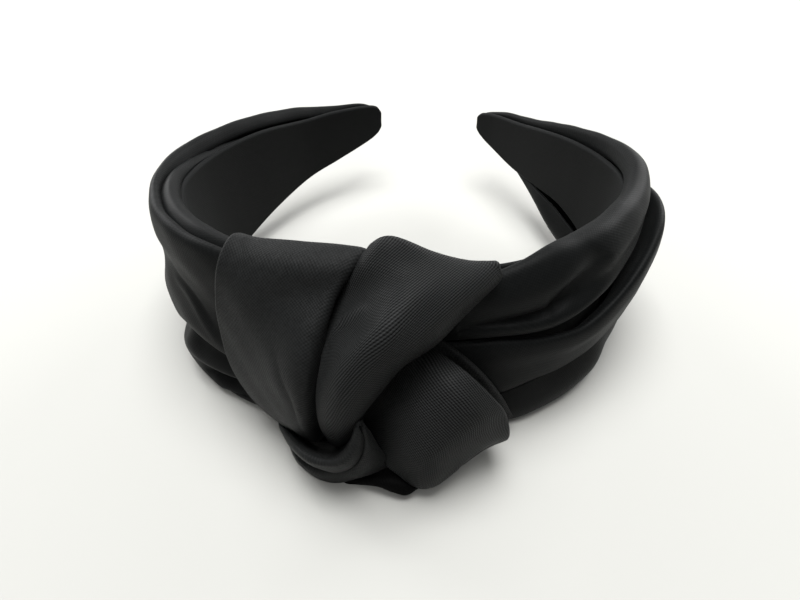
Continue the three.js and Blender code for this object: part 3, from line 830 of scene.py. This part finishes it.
# columns: along, tuck, top, upper, face, lower, hem
RIGHT_OUTER_FOLD: Table = (
    (0.545, 4.8, 32.4, 6, 32.8, 6.6, 30, 6.8, 25, 7, 18, 6.8, 13),
    (0.58, 6, 32.8, 7.8, 33.4, 9, 30.4, 9, 25, 9.3, 19, 8.8, 15.4),
    (0.61, 6.8, 29, 9.9, 32.2, 10.8, 29.8, 10.2, 25, 9.8, 19.5, 9, 16.8),
    (0.635, 7.4, 26, 11.1, 31.6, 12, 28.6, 11, 24.6, 10.2, 19.6, 9.4, 17),
    (0.66, 7.6, 27.6, 11.4, 34.6, 12.4, 31.6, 11.6, 27, 10.3, 21.4, 9.6, 18),
    (0.69, 7, 29, 11.8, 40.2, 12.9, 36.6, 12.2, 31, 10.8, 23.4, 9.9, 19),
    (0.73, 5.4, 31, 11, 44.8, 12.3, 41.6, 12.1, 34.4, 11.1, 22.8, 10, 17.6),
    (0.765, 4.4, 31, 9.6, 43.4, 10.8, 41, 11.5, 33.4, 10.9, 23, 10, 17.4),
    (0.81, 7.1, 28.6, 9.6, 35.6, 10.3, 33.4, 10.5, 28.4, 10.2, 22.6, 9.6, 18.4),
    (0.865, 7.4, 23.4, 9.1, 29, 9.3, 28, 9.3, 25, 9.1, 22, 8.6, 20),
    (0.91, 6.6, 20.6, 7.7, 24.4, 8.1, 23.4, 8.1, 22, 7.9, 20.8, 7.7, 20.2),
)

# columns: along, inner, inner low, bottom, outer low, outer, top
RIGHT_LOWER_FOLD: Table = (
    (0.55, 1.6, 2, 2.6, 1.1, 5, 1.1, 7, 2, 7.6, 6, 6.2, 10.6),
    (0.6, 1.4, 2, 2.6, 1.1, 5.4, 1.1, 8.6, 1.9, 9.8, 7, 7.8, 15),
    (0.635, 1.2, 2.4, 2.4, 1.1, 5.6, 1.1, 9, 2.2, 10.4, 8.5, 7.6, 16.5),
    (0.665, 0.8, 3.2, 2, 1.2, 5.4, 1.1, 8.6, 2.2, 10.5, 9, 7.8, 16.7),
    (0.7, 0.5, 6.6, 1, 2.6, 3.6, 1.1, 6.8, 2, 8.4, 9, 7.4, 17.9),
    (0.752, 0.4, 12.2, 0.5, 5.8, 3, 1.6, 7.2, 3, 9.4, 9.4, 7.5, 17.7),
    (0.81, 0.4, 16.2, -0.6, 9.4, 2, 4.8, 6.2, 6, 8.6, 11.6, 7.3, 19),
    (0.845, 0.4, 18, -1.1, 12, 1.8, 8, 5.6, 9, 7.8, 13.6, 7, 18.8),
    (0.88, 0.7, 18.9, 0.2, 15.2, 2.1, 12.6, 5, 13, 6.6, 15.8, 6.4, 18.6),
    (0.93, 2.9, 19.2, 2.9, 18.4, 3.2, 18.2, 3.8, 18.2, 4.2, 18.4, 4.2, 18.8),
)

BROAD_CREASES: tuple[Crease, ...] = (
    Crease((3.6, 2.6, 2.85, 3.4, 2.0, 3.9), 3.6, -2.2),
    Crease((0.4, 4.6, 1.42, 4.12, 2.6, 3.9), 1.4, -1.5, 1.5),
    Crease((1.1, 4.9, 2.1, 4.7, 3.2, 3.8), 1.6, 0.5),
)


@dataclass(frozen=True)
class RightArm:
    """The right arm's cloth: the broad fold, the outer fold and the lower fold."""

    broad_fold: ArmCloth = ArmCloth(
        "right_broad_fold", (0.028, 0.184, 0.0035), table=RIGHT_BROAD_FOLD, creases=BROAD_CREASES)
    outer_fold: ArmCloth = ArmCloth(
        "right_outer_fold", (0.044, 0.157, 0.004), table=RIGHT_OUTER_FOLD, steps=(240, 100))
    lower_fold: ArmCloth = ArmCloth(
        "right_lower_fold", (0.03, 0.154, 0.0034), table=RIGHT_LOWER_FOLD, steps=(240, 100))

    def build(self, hoop: Hoop) -> list[bpy.types.Object]:
        """Builds the arm's pieces."""
        return [piece.build(hoop) for piece in (self.broad_fold, self.outer_fold, self.lower_fold)]


# -------------------------------- the knot

# columns: left fold, left, crown, right, right crease, tuck; rows from behind the rim down
KNOT_LEFT_PANEL: Table = (
    (-38, -45, 57.5, -31.6, -47.5, 57.4, -22.4, -50, 57.6, -14, -52, 57.5, -9.5, -52.5, 57, -12, -51, 55.2),
    (-39.5, -48.5, 59, -32, -50, 59, -22.6, -52, 59.7,
     -13.9, -53.3, 59.9, -8.9, -53.8, 59.4, -12.4, -52.6, 57),
    (-41.6, -52.2, 55.4, -33.5, -54.6, 57, -24.5, -57.2, 58.3,
     -16.1, -57.9, 58.3, -11.7, -57, 57.9, -16, -55.4, 55.6),
    (-43.7, -52.6, 47, -34.4, -57.8, 50.8, -26.2, -60, 51.9,
     -19, -61, 53.1, -15.1, -60.2, 53.8, -17.6, -56.6, 49.6),
    (-45, -52.3, 35.2, -35.7, -59.3, 40.2, -27.2, -64.6, 44.7,
     -21, -67, 47.8, -17.6, -64.8, 48, -20, -61.4, 43.6),
    (-44, -53.8, 22, -35.8, -60.9, 27.9, -27.7, -68.6, 36.2,
     -22.4, -71.4, 40.2, -19.6, -68.4, 39.7, -17, -60, 32.4),
    (-39.7, -56.6, 13.2, -32.8, -63.6, 20.4, -26.5, -70, 28.3,
     -23, -72.4, 31.7, -21, -70.2, 30.4, -18.6, -63, 23.6),
    (-33.8, -60, 9.4, -29.7, -65.4, 15, -25.7, -70.4, 20.3,
     -23.2, -72, 22.1, -21.6, -70.2, 21.2, -19.7, -64, 16.1),
    (-28.5, -62.5, 7.5, -26.6, -65, 9.7, -24.5, -67.6, 12.1,
     -22.9, -68.4, 12, -21.8, -67.2, 11.1, -20.4, -64, 10.1),
    (-27.4, -60, 0.8, -26.1, -61, 1.7, -24.8, -62, 2.7,
     -23.6, -62.5, 3.2, -22.8, -62, 3.2, -21.8, -61, 3.6),
)

# columns: left crease, left, crown, right, shoulder, cut edge; rows from behind the rim to the eye
KNOT_CROSSING_BAND: Table = (
    (-7.7, -52.4, 59.2, -3.3, -52.6, 61.2, 5.5, -53.2, 58.1,
     12.8, -54, 56.5, 17, -54.3, 55.9, 20.1, -54.6, 55.6),
    (-7.8, -54.6, 60.6, -3.2, -55.6, 63.5, 5.5, -56.4, 60.4,
     13, -57.2, 58.6, 17.4, -57, 58.1, 20.7, -56.4, 57.9),
    (-12.2, -55, 55.1, -7.2, -58.8, 59.6, 2.2, -61.2, 59.7,
     10.6, -61.6, 58.4, 16.7, -60.4, 56.8, 20.8, -55.6, 53.8),
    (-15.2, -55.6, 49.1, -10.9, -60.4, 52.5, -1.7, -67.5, 57.6,
     5.2, -67.4, 56.4, 10.2, -65.6, 53.8, 15.2, -57, 47.3),
    (-17.2, -60.4, 44.3, -12.7, -65.6, 48.8, -4.9, -73, 54.8,
     -0.5, -72.6, 52.7, 3.7, -70.4, 48.9, 7.8, -61.4, 40.7),
    (-17.7, -68.4, 41.1, -12.9, -73.5, 47.4, -8.5, -76.2, 49.8,
     -5.6, -75.8, 48.1, -2.8, -73, 44, -0.2, -65.4, 37),
    (-18.8, -71.6, 35.3, -15.3, -76, 40.4, -12.1, -78, 42.2,
     -9.7, -77.2, 40.4, -7.6, -74.6, 36.6, -6.3, -69.6, 31.6),
    (-19.3, -73, 28.5, -16.6, -76.4, 31.9, -13.9, -77.8, 33.2,
     -11.9, -77, 32.5, -10.5, -75.2, 30.8, -9.8, -71.8, 27.6),
    (-19.1, -71.6, 20.3, -17.1, -73.8, 21.8, -15, -74.8, 22.5,
     -13.3, -74.3, 22.7, -12.2, -73.2, 22.4, -11.3, -71, 20.7),
    (-18.6, -68.5, 11.7, -17.2, -69.8, 12.3, -16, -70.4, 12.7,
     -15, -70.2, 13.3, -14, -69.6, 13.5, -13.3, -68, 12.7),
    (-18.6, -63.5, 3.5, -17.7, -64, 3.8, -16.9, -64.4, 4.1,
     -16.1, -64.2, 4.3, -15.4, -63.8, 4.4, -14.8, -63.5, 4.9),
)

# columns: tuck, left edge, left, crown, right, upper right edge; rows from under the band down
KNOT_LOWER_PANEL: Table = (
    (-12.2, -56, 22.6, -9.5, -58, 24.2, -5.8, -59, 28.3, -2.3, -59.4, 32.8, 1, -59, 36.2, 3.8, -58.6, 38.5),
    (-14, -57, 15.8, -9.5, -61.6, 19.1, -4.3, -64.2, 26.2,
     0.3, -65.2, 32.2, 4.4, -64.4, 36.6, 8.4, -62.4, 36.4),
    (-13.7, -60, 9.4, -8.5, -66.4, 14.3, -2.1, -71, 25.4,
     3.6, -72.4, 32.4, 8.8, -71.4, 36.5, 13.9, -68.6, 37.3),
    (-7.1, -68.5, 8.2, -3.4, -73.6, 11, 2.1, -76.8, 22.2,
     8, -76.6, 28.9, 13.5, -74.6, 32.8, 19.7, -70.8, 31.9),
    (-1.9, -73, 7.9, 0.3, -76.4, 9.2, 5.4, -79, 18.6,
     11.7, -77.2, 23.6, 17.9, -74.4, 26.6, 23.9, -70.2, 24.7),
    (3.2, -74, 3.9, 4.5, -77.2, 4.5, 7.2, -78, 6.8, 12.7, -74.8, 9.4, 19.8, -72, 13.4, 26.1, -69, 14.1),
    (7, -69.4, 2.2, 7.5, -70.6, 2.2, 9.9, -70, 1.7, 15.1, -66.4, 2.2, 19.7, -65, 6.2, 24.3, -63.4, 8.8),
)

# columns: inner edge, middle, outer edge; rows from the top down
KNOT_BACKING_FOLD: Table = (
    (4.4, -57, 36.2, 5.4, -58.8, 38.9, 6.7, -59, 39.8),
    (11.2, -57.4, 29.5, 12.1, -59.4, 32.8, 13.5, -59.4, 33.7),
    (17.7, -57.6, 21.7, 18.5, -59.6, 25.3, 19.8, -59.4, 26.2),
    (23.8, -57.4, 12.5, 24.6, -59.2, 15.8, 25.7, -58.8, 16.1),
    (28.3, -57, 4.5, 28.9, -58, 6.5, 29.6, -57.6, 6.6),
)

# columns: deep edge, inner, lip, outer, lower edge; rows from the left round to the right
KNOT_COLLAR_ROLL: Table = (
    (-32.7, -57.5, 6.9, -32.8, -59.5, 8.3, -32.8, -61, 8.6, -32.6, -61.6, 7.6, -31.9, -60.8, 5.2),
    (-29.9, -57, 1.2, -30.3, -62, 5.9, -29.7, -66.6, 10.7, -29.7, -67.2, 9.8, -29.1, -65.4, 5.4),
    (-26.9, -58, -0.7, -27, -65.4, 5.6, -26.2, -72.4, 14, -26, -73.2, 13, -25.8, -71, 8.4),
    (-24.5, -58.6, -2.2, -24, -67.4, 4.9, -22.9, -76, 15.6, -22.7, -76.6, 14.4, -22.8, -74, 9),
    (-21.4, -59, -3.1, -20.5, -68.4, 4.6, -19.3, -78, 16.6, -19.4, -78.4, 15.1, -19.4, -75.6, 9.3),
    (-18.2, -59.5, -1.4, -16.9, -69, 6.2, -15.8, -79, 18.2, -15.9, -79.6, 16.4, -16.1, -76.6, 10),
    (-15.1, -60.5, 3.4, -13.6, -69.6, 11.1, -13.1, -79, 21, -12.7, -79.6, 18.7, -12.5, -77, 12.9),
    (-12.7, -62.5, 10.2, -11.7, -71, 17.8, -11.1, -78, 24.7, -10.7, -78.6, 22.4, -10.3, -77, 18.4),
    (-10.8, -70, 23.3, -10.2, -75, 28.9, -10.1, -77, 29.4, -9.9, -77.4, 27.7, -9.5, -76.4, 24.4),
)

# columns: tucked edge, lip, belly, lower edge; rows from the left round to the right
KNOT_UNDER_STRAND: Table = (
    (-29.8, -63, 4.6, -30, -64, 4.2, -30, -64.4, 3.4, -29.9, -63.6, 0.9),
    (-27.3, -66, 4.4, -27.9, -68, 6.1, -27.6, -69.4, 5.4, -27.7, -68.2, 0.8),
    (-25.3, -66, 0.7, -25.3, -70, 4.5, -24.5, -72.2, 4.7, -24.2, -71.4, 0.4),
    (-22.4, -68, 0.9, -21.6, -72.4, 5.3, -20.8, -74.6, 5.8, -20.6, -73, -0.4),
    (-18.9, -70, 2.7, -17.6, -74.8, 7.8, -16.3, -76.2, 7.5, -16.2, -74, 0.6),
    (-14.6, -72, 7.2, -13.3, -76.2, 11.8, -11.9, -77, 10.6, -10.5, -74.6, 4.4),
    (-11.7, -73.5, 13.9, -10.7, -76.6, 16.9, -9, -77.4, 15, -6.4, -74.4, 6.4),
    (-10.2, -74.4, 21.1, -9.7, -76.6, 22.7, -7.9, -76.8, 18.7, -3.2, -72.4, 6.4),
    (-9.9, -75, 26.3, -9.6, -76.2, 26.8, -8.6, -76.2, 23.7, -5.9, -72.6, 11.7),
    (-10.1, -74.6, 29.8, -10, -75.2, 29.5, -9.6, -75, 27, -8.7, -73, 20.3),
)

# columns: upper edge, crown, lower edge; rows from the left to the right
KNOT_TUCK: Table = (
    (-16.1, -72, -0.3, -15.7, -73.4, 0, -15.3, -73.2, -1.5),
    (-11.5, -70, -0.7, -10.8, -75, 3.2, -10.3, -75.8, 1.9),
    (-7, -69, 0.6, -6.4, -76, 5.3, -6.4, -77.8, 4.2),
    (-3.3, -68.6, 1.9, -2.9, -76.6, 6.3, -3.1, -79, 3.9),
    (-0.4, -69, 1.5, 0.1, -76.8, 5.7, 0, -79.8, 3.6),
    (1.7, -70, 0.3, 2.1, -76.4, 4.6, 2.1, -79, 3.4),
    (3.3, -72, 0.6, 3.7, -75, 2.3, 3.7, -77.4, 3.5),
)

PANEL_CREASES: tuple[Crease, ...] = (
    Crease((4.2, 1.9, 6.3, 2.4, 8.3, 2.75), 1.5, 0.5, 1.5),
    Crease((1.0, 0.5, 1.6, 0.7, 2.3, 0.8), 1.6, 0.35),
)
BAND_CREASES: tuple[Crease, ...] = (
    Crease((4.6, 0.5, 4.0, 1.1, 3.3, 1.5), 1.5, -1.2, 1.6),
    Crease((3.0, 1.8, 4.3, 1.5, 5.5, 0.5), 2.4, 0.5),
)
LOWER_CREASES: tuple[Crease, ...] = (
    Crease((2.6, 0.5, 3.6, 0.45, 4.8, 0.9), 1.0, -0.5, 1.5),
    Crease((4.9, 4.6, 5.0, 3.8, 5.0, 3.0), 1.6, 0.4),
    Crease((4.8, 3.3, 5.0, 2.6, 5.0, 1.8), 1.6, -0.35),
)


@dataclass(frozen=True)
class Knot:
    """The knot: seven visible stretches of one length of cloth tied round the band."""

    left_panel: KnotCloth = KnotCloth(
        "knot_left_panel", (0.05, 0.075, 0.0023), thickness=2.2,
        rests_on=("left_outer_fold", "lined_hoop"), table=KNOT_LEFT_PANEL, lip=1.2,
        creases=PANEL_CREASES)
    crossing_band: KnotCloth = KnotCloth(
        "knot_crossing_band", (0.046, 0.082, 0.0019), finish=Satin.RIBBED, thickness=2.2,
        rests_on=("knot_left_panel",), table=KNOT_CROSSING_BAND, lip=1.0, creases=BAND_CREASES)
    lower_panel: KnotCloth = KnotCloth(
        "knot_lower_panel", (0.046, 0.055, 0.0017), finish=Satin.RIBBED, thickness=2.2,
        table=KNOT_LOWER_PANEL, lip=1.2, rib_origin=1.0, creases=LOWER_CREASES)
    backing_fold: KnotCloth = KnotCloth(
        "knot_backing_fold", (0.01, 0.041, 0.00019), rests_on=("knot_lower_panel",),
        table=KNOT_BACKING_FOLD, steps=(120, 30))
    collar_roll: KnotCloth = KnotCloth(
        "knot_collar_roll", (0.038, 0.048, 0.0009), rests_on=("knot_lower_panel",),
        table=KNOT_COLLAR_ROLL, steps=(120, 90))
    under_strand: KnotCloth = KnotCloth(
        "knot_under_strand", (0.021, 0.049, 0.00047), rests_on=("knot_collar_roll",),
        table=KNOT_UNDER_STRAND, steps=(130, 40))
    # The tuck's nearly black satin is painted shade for the deep fold under the lower panel.
    tuck: KnotCloth = KnotCloth(
        "knot_tuck", (0.013, 0.024, 0.0002), finish=Satin.PAINTED_SHADE, rests_on=("knot_lower_panel",),
        table=KNOT_TUCK, steps=(80, 40))

    def build(self) -> list[bpy.types.Object]:
        """Builds the knot's pieces."""
        return [piece.build() for piece in (
            self.left_panel, self.crossing_band, self.lower_panel, self.backing_fold,
            self.collar_roll, self.under_strand, self.tuck)]


# -------------------------------- floor, light and camera

@dataclass(frozen=True)
class Softbox:
    """A large soft studio lamp that faces the middle of the headband.

    Attributes:
        name: Name of the lamp.
        azimuth: 0 on the camera's side, 90 on the right, in degrees.
        elevation: Height above the floor in degrees.
        power: Power in watts.
        distance: Distance from the headband in metres.
        size: Side of its square face, in metres.
    """

    name: str
    azimuth: float
    elevation: float
    power: float
    distance: float = 1.3
    size: float = 0.8

    def build(self) -> bpy.types.Object:
        """Hangs the lamp and turns it to the headband.

        Returns:
            The lamp.
        """
        lamp = bpy.data.lights.new(self.name, "AREA")
        lamp.shape, lamp.size, lamp.energy = "SQUARE", self.size, self.power
        around, up = math.radians(self.azimuth), math.radians(self.elevation)
        way = Vector((math.sin(around) * math.cos(up), -math.cos(around) * math.cos(up),
                      math.sin(up)))
        item = bpy.data.objects.new(self.name, lamp)
        item.location = AIM + self.distance * way
        item.rotation_euler = (-way).to_track_quat("-Z", "Y").to_euler()
        bpy.context.scene.collection.objects.link(item)
        return item


@dataclass(frozen=True)
class Studio:
    """Pale floor, soft lamps and the camera.

    Attributes:
        eye: Place of the camera in metres.
        down: Angle that it looks down, in degrees.
        lens: Focal length for a sensor 36 mm wide, in millimetres.
        floor_side: Side of the square floor in metres.
        floor_shade: Colour of the floor.
        floor_rough: Roughness of the floor.
        sky: Strength of the even white light from all round.
        lamps: The soft lamps.
    """

    eye: tuple[float, float, float] = (-0.0021, -0.1537, 0.13965)
    down: float = 42.51
    lens: float = 27.0
    floor_side: float = 6.0
    floor_shade: str = "#b0b0ac"
    floor_rough: float = 0.8
    sky: float = 0.01
    lamps: tuple[Softbox, ...] = (
        Softbox("lamp_top", 0, 90, 29.0),
        Softbox("lamp_front", 0, 55, 4.0),
        Softbox("lamp_back_right", 135, 22, 13.5),
        Softbox("lamp_back", 180, 22, 4.0),
        Softbox("lamp_back_left", 225, 22, 12.5),
        Softbox("lamp_front_left", 315, 22, 2.0),
    )

    def camera(self) -> None:
        """Sets the camera up: it looks along +Y and down."""
        lens = bpy.data.cameras.new("camera")
        lens.lens, lens.sensor_width = self.lens, 36.0
        lens.clip_start, lens.clip_end = 0.005, 20.0
        item = bpy.data.objects.new("camera", lens)
        item.location = self.eye
        item.rotation_euler = (math.radians(90 - self.down), 0, 0)
        bpy.context.scene.collection.objects.link(item)
        bpy.context.scene.camera = item

    def floor(self) -> None:
        """Lays the floor: painted board, pale and matt, on which only soft shadows show."""
        half = self.floor_side / 2
        mesh = bpy.data.meshes.new("floor")
        corners = [(-half, -half, 0), (half, -half, 0), (half, half, 0), (-half, half, 0)]
        mesh.from_pydata(corners, [], [(0, 1, 2, 3)])
        board = bpy.data.materials.new("matt_board")
        board.use_nodes = True
        surface = board.node_tree.nodes["Principled BSDF"]
        surface.inputs["Base Color"].default_value = shade(self.floor_shade)
        surface.inputs["Roughness"].default_value = self.floor_rough
        mesh.materials.append(board)
        item = bpy.data.objects.new("floor", mesh)
        bpy.context.scene.collection.objects.link(item)

    def light(self) -> None:
        """Hangs the lamps and sets the pale sky."""
        for lamp in self.lamps:
            lamp.build()
        sky = bpy.data.worlds.new("sky")
        bpy.context.scene.world = sky
        sky.use_nodes = True
        sky.node_tree.nodes["Background"].inputs["Color"].default_value = shade("#ffffff")
        sky.node_tree.nodes["Background"].inputs["Strength"].default_value = self.sky
        bpy.context.scene.view_settings.view_transform = "Standard"


# -------------------------------- where cloth presses on cloth

# columns: piece that gives way, then the pieces that it presses on
PRESSED: tuple[tuple[str, ...], ...] = (
    ("left_inner_roll", "lined_hoop", "left_outer_fold"),
    ("knot_backing_fold", "right_broad_fold", "right_outer_fold", "right_lower_fold"),
    ("knot_crossing_band", "knot_left_panel", "right_broad_fold"),
    ("knot_collar_roll", "knot_crossing_band", "knot_left_panel", "knot_lower_panel"),
    ("knot_under_strand", "knot_collar_roll", "knot_crossing_band", "knot_lower_panel"),
    ("knot_tuck", "knot_lower_panel", "knot_under_strand"),
)


@dataclass(frozen=True)
class Press:
    """Flattens a wall of cloth where it presses on its neighbour.

    Attributes:
        reach: How far a point may give way, in millimetres.
        gap: Clearance that is left between the faces, in millimetres.
    """

    reach: float = 1.5
    gap: float = 0.08

    def flatten(self, piece: bpy.types.Object, neighbour: bpy.types.Object) -> None:
        """Moves the points of a piece that lie inside its neighbour.

        Formula: a point goes back along its own normal to the neighbour's face, and gap
        further, if that is no more than reach away.

        Args:
            piece: The piece that gives way.
            neighbour: The piece that it presses on.
        """
        give = piece.modifiers.new("give", "SHRINKWRAP")
        give.target = neighbour
        give.wrap_method, give.wrap_mode = "PROJECT", "ABOVE_SURFACE"
        give.use_positive_direction, give.use_negative_direction = False, True
        give.cull_face = "FRONT"
        give.project_limit, give.offset = self.reach * MM, self.gap * MM
        shaped = piece.evaluated_get(bpy.context.evaluated_depsgraph_get())
        pressed = bpy.data.meshes.new_from_object(shaped)
        piece.modifiers.clear()
        piece.data = pressed

    def settle(self, groups: tuple[tuple[str, ...], ...]) -> None:
        """Lets the first piece of a group and each of its neighbours give way to each other.

        Args:
            groups: Names of the nodes that the pieces stand for.
        """
        for group in groups:
            first, *neighbours = (bpy.data.objects[f"{name}_cloth"] for name in group)
            for neighbour in neighbours:
                self.flatten(first, neighbour)
                self.flatten(neighbour, first)


def report(pieces: list[bpy.types.Object]) -> None:
    """Logs each piece with its number of faces."""
    for piece in pieces:
        log.info("%s: %d faces", piece.name, len(piece.data.polygons))


def main() -> None:
    """Builds the studio and the headband."""
    logging.basicConfig(level=logging.INFO, format="%(name)s: %(message)s")
    studio = Studio()
    studio.camera()
    studio.floor()
    studio.light()
    hoop = Hoop()
    report([hoop.build()])
    report(LeftArm().build(hoop))
    report(RightArm().build(hoop))
    report(Knot().build())
    Press().settle(PRESSED)


if __name__ == "__main__":
    main()
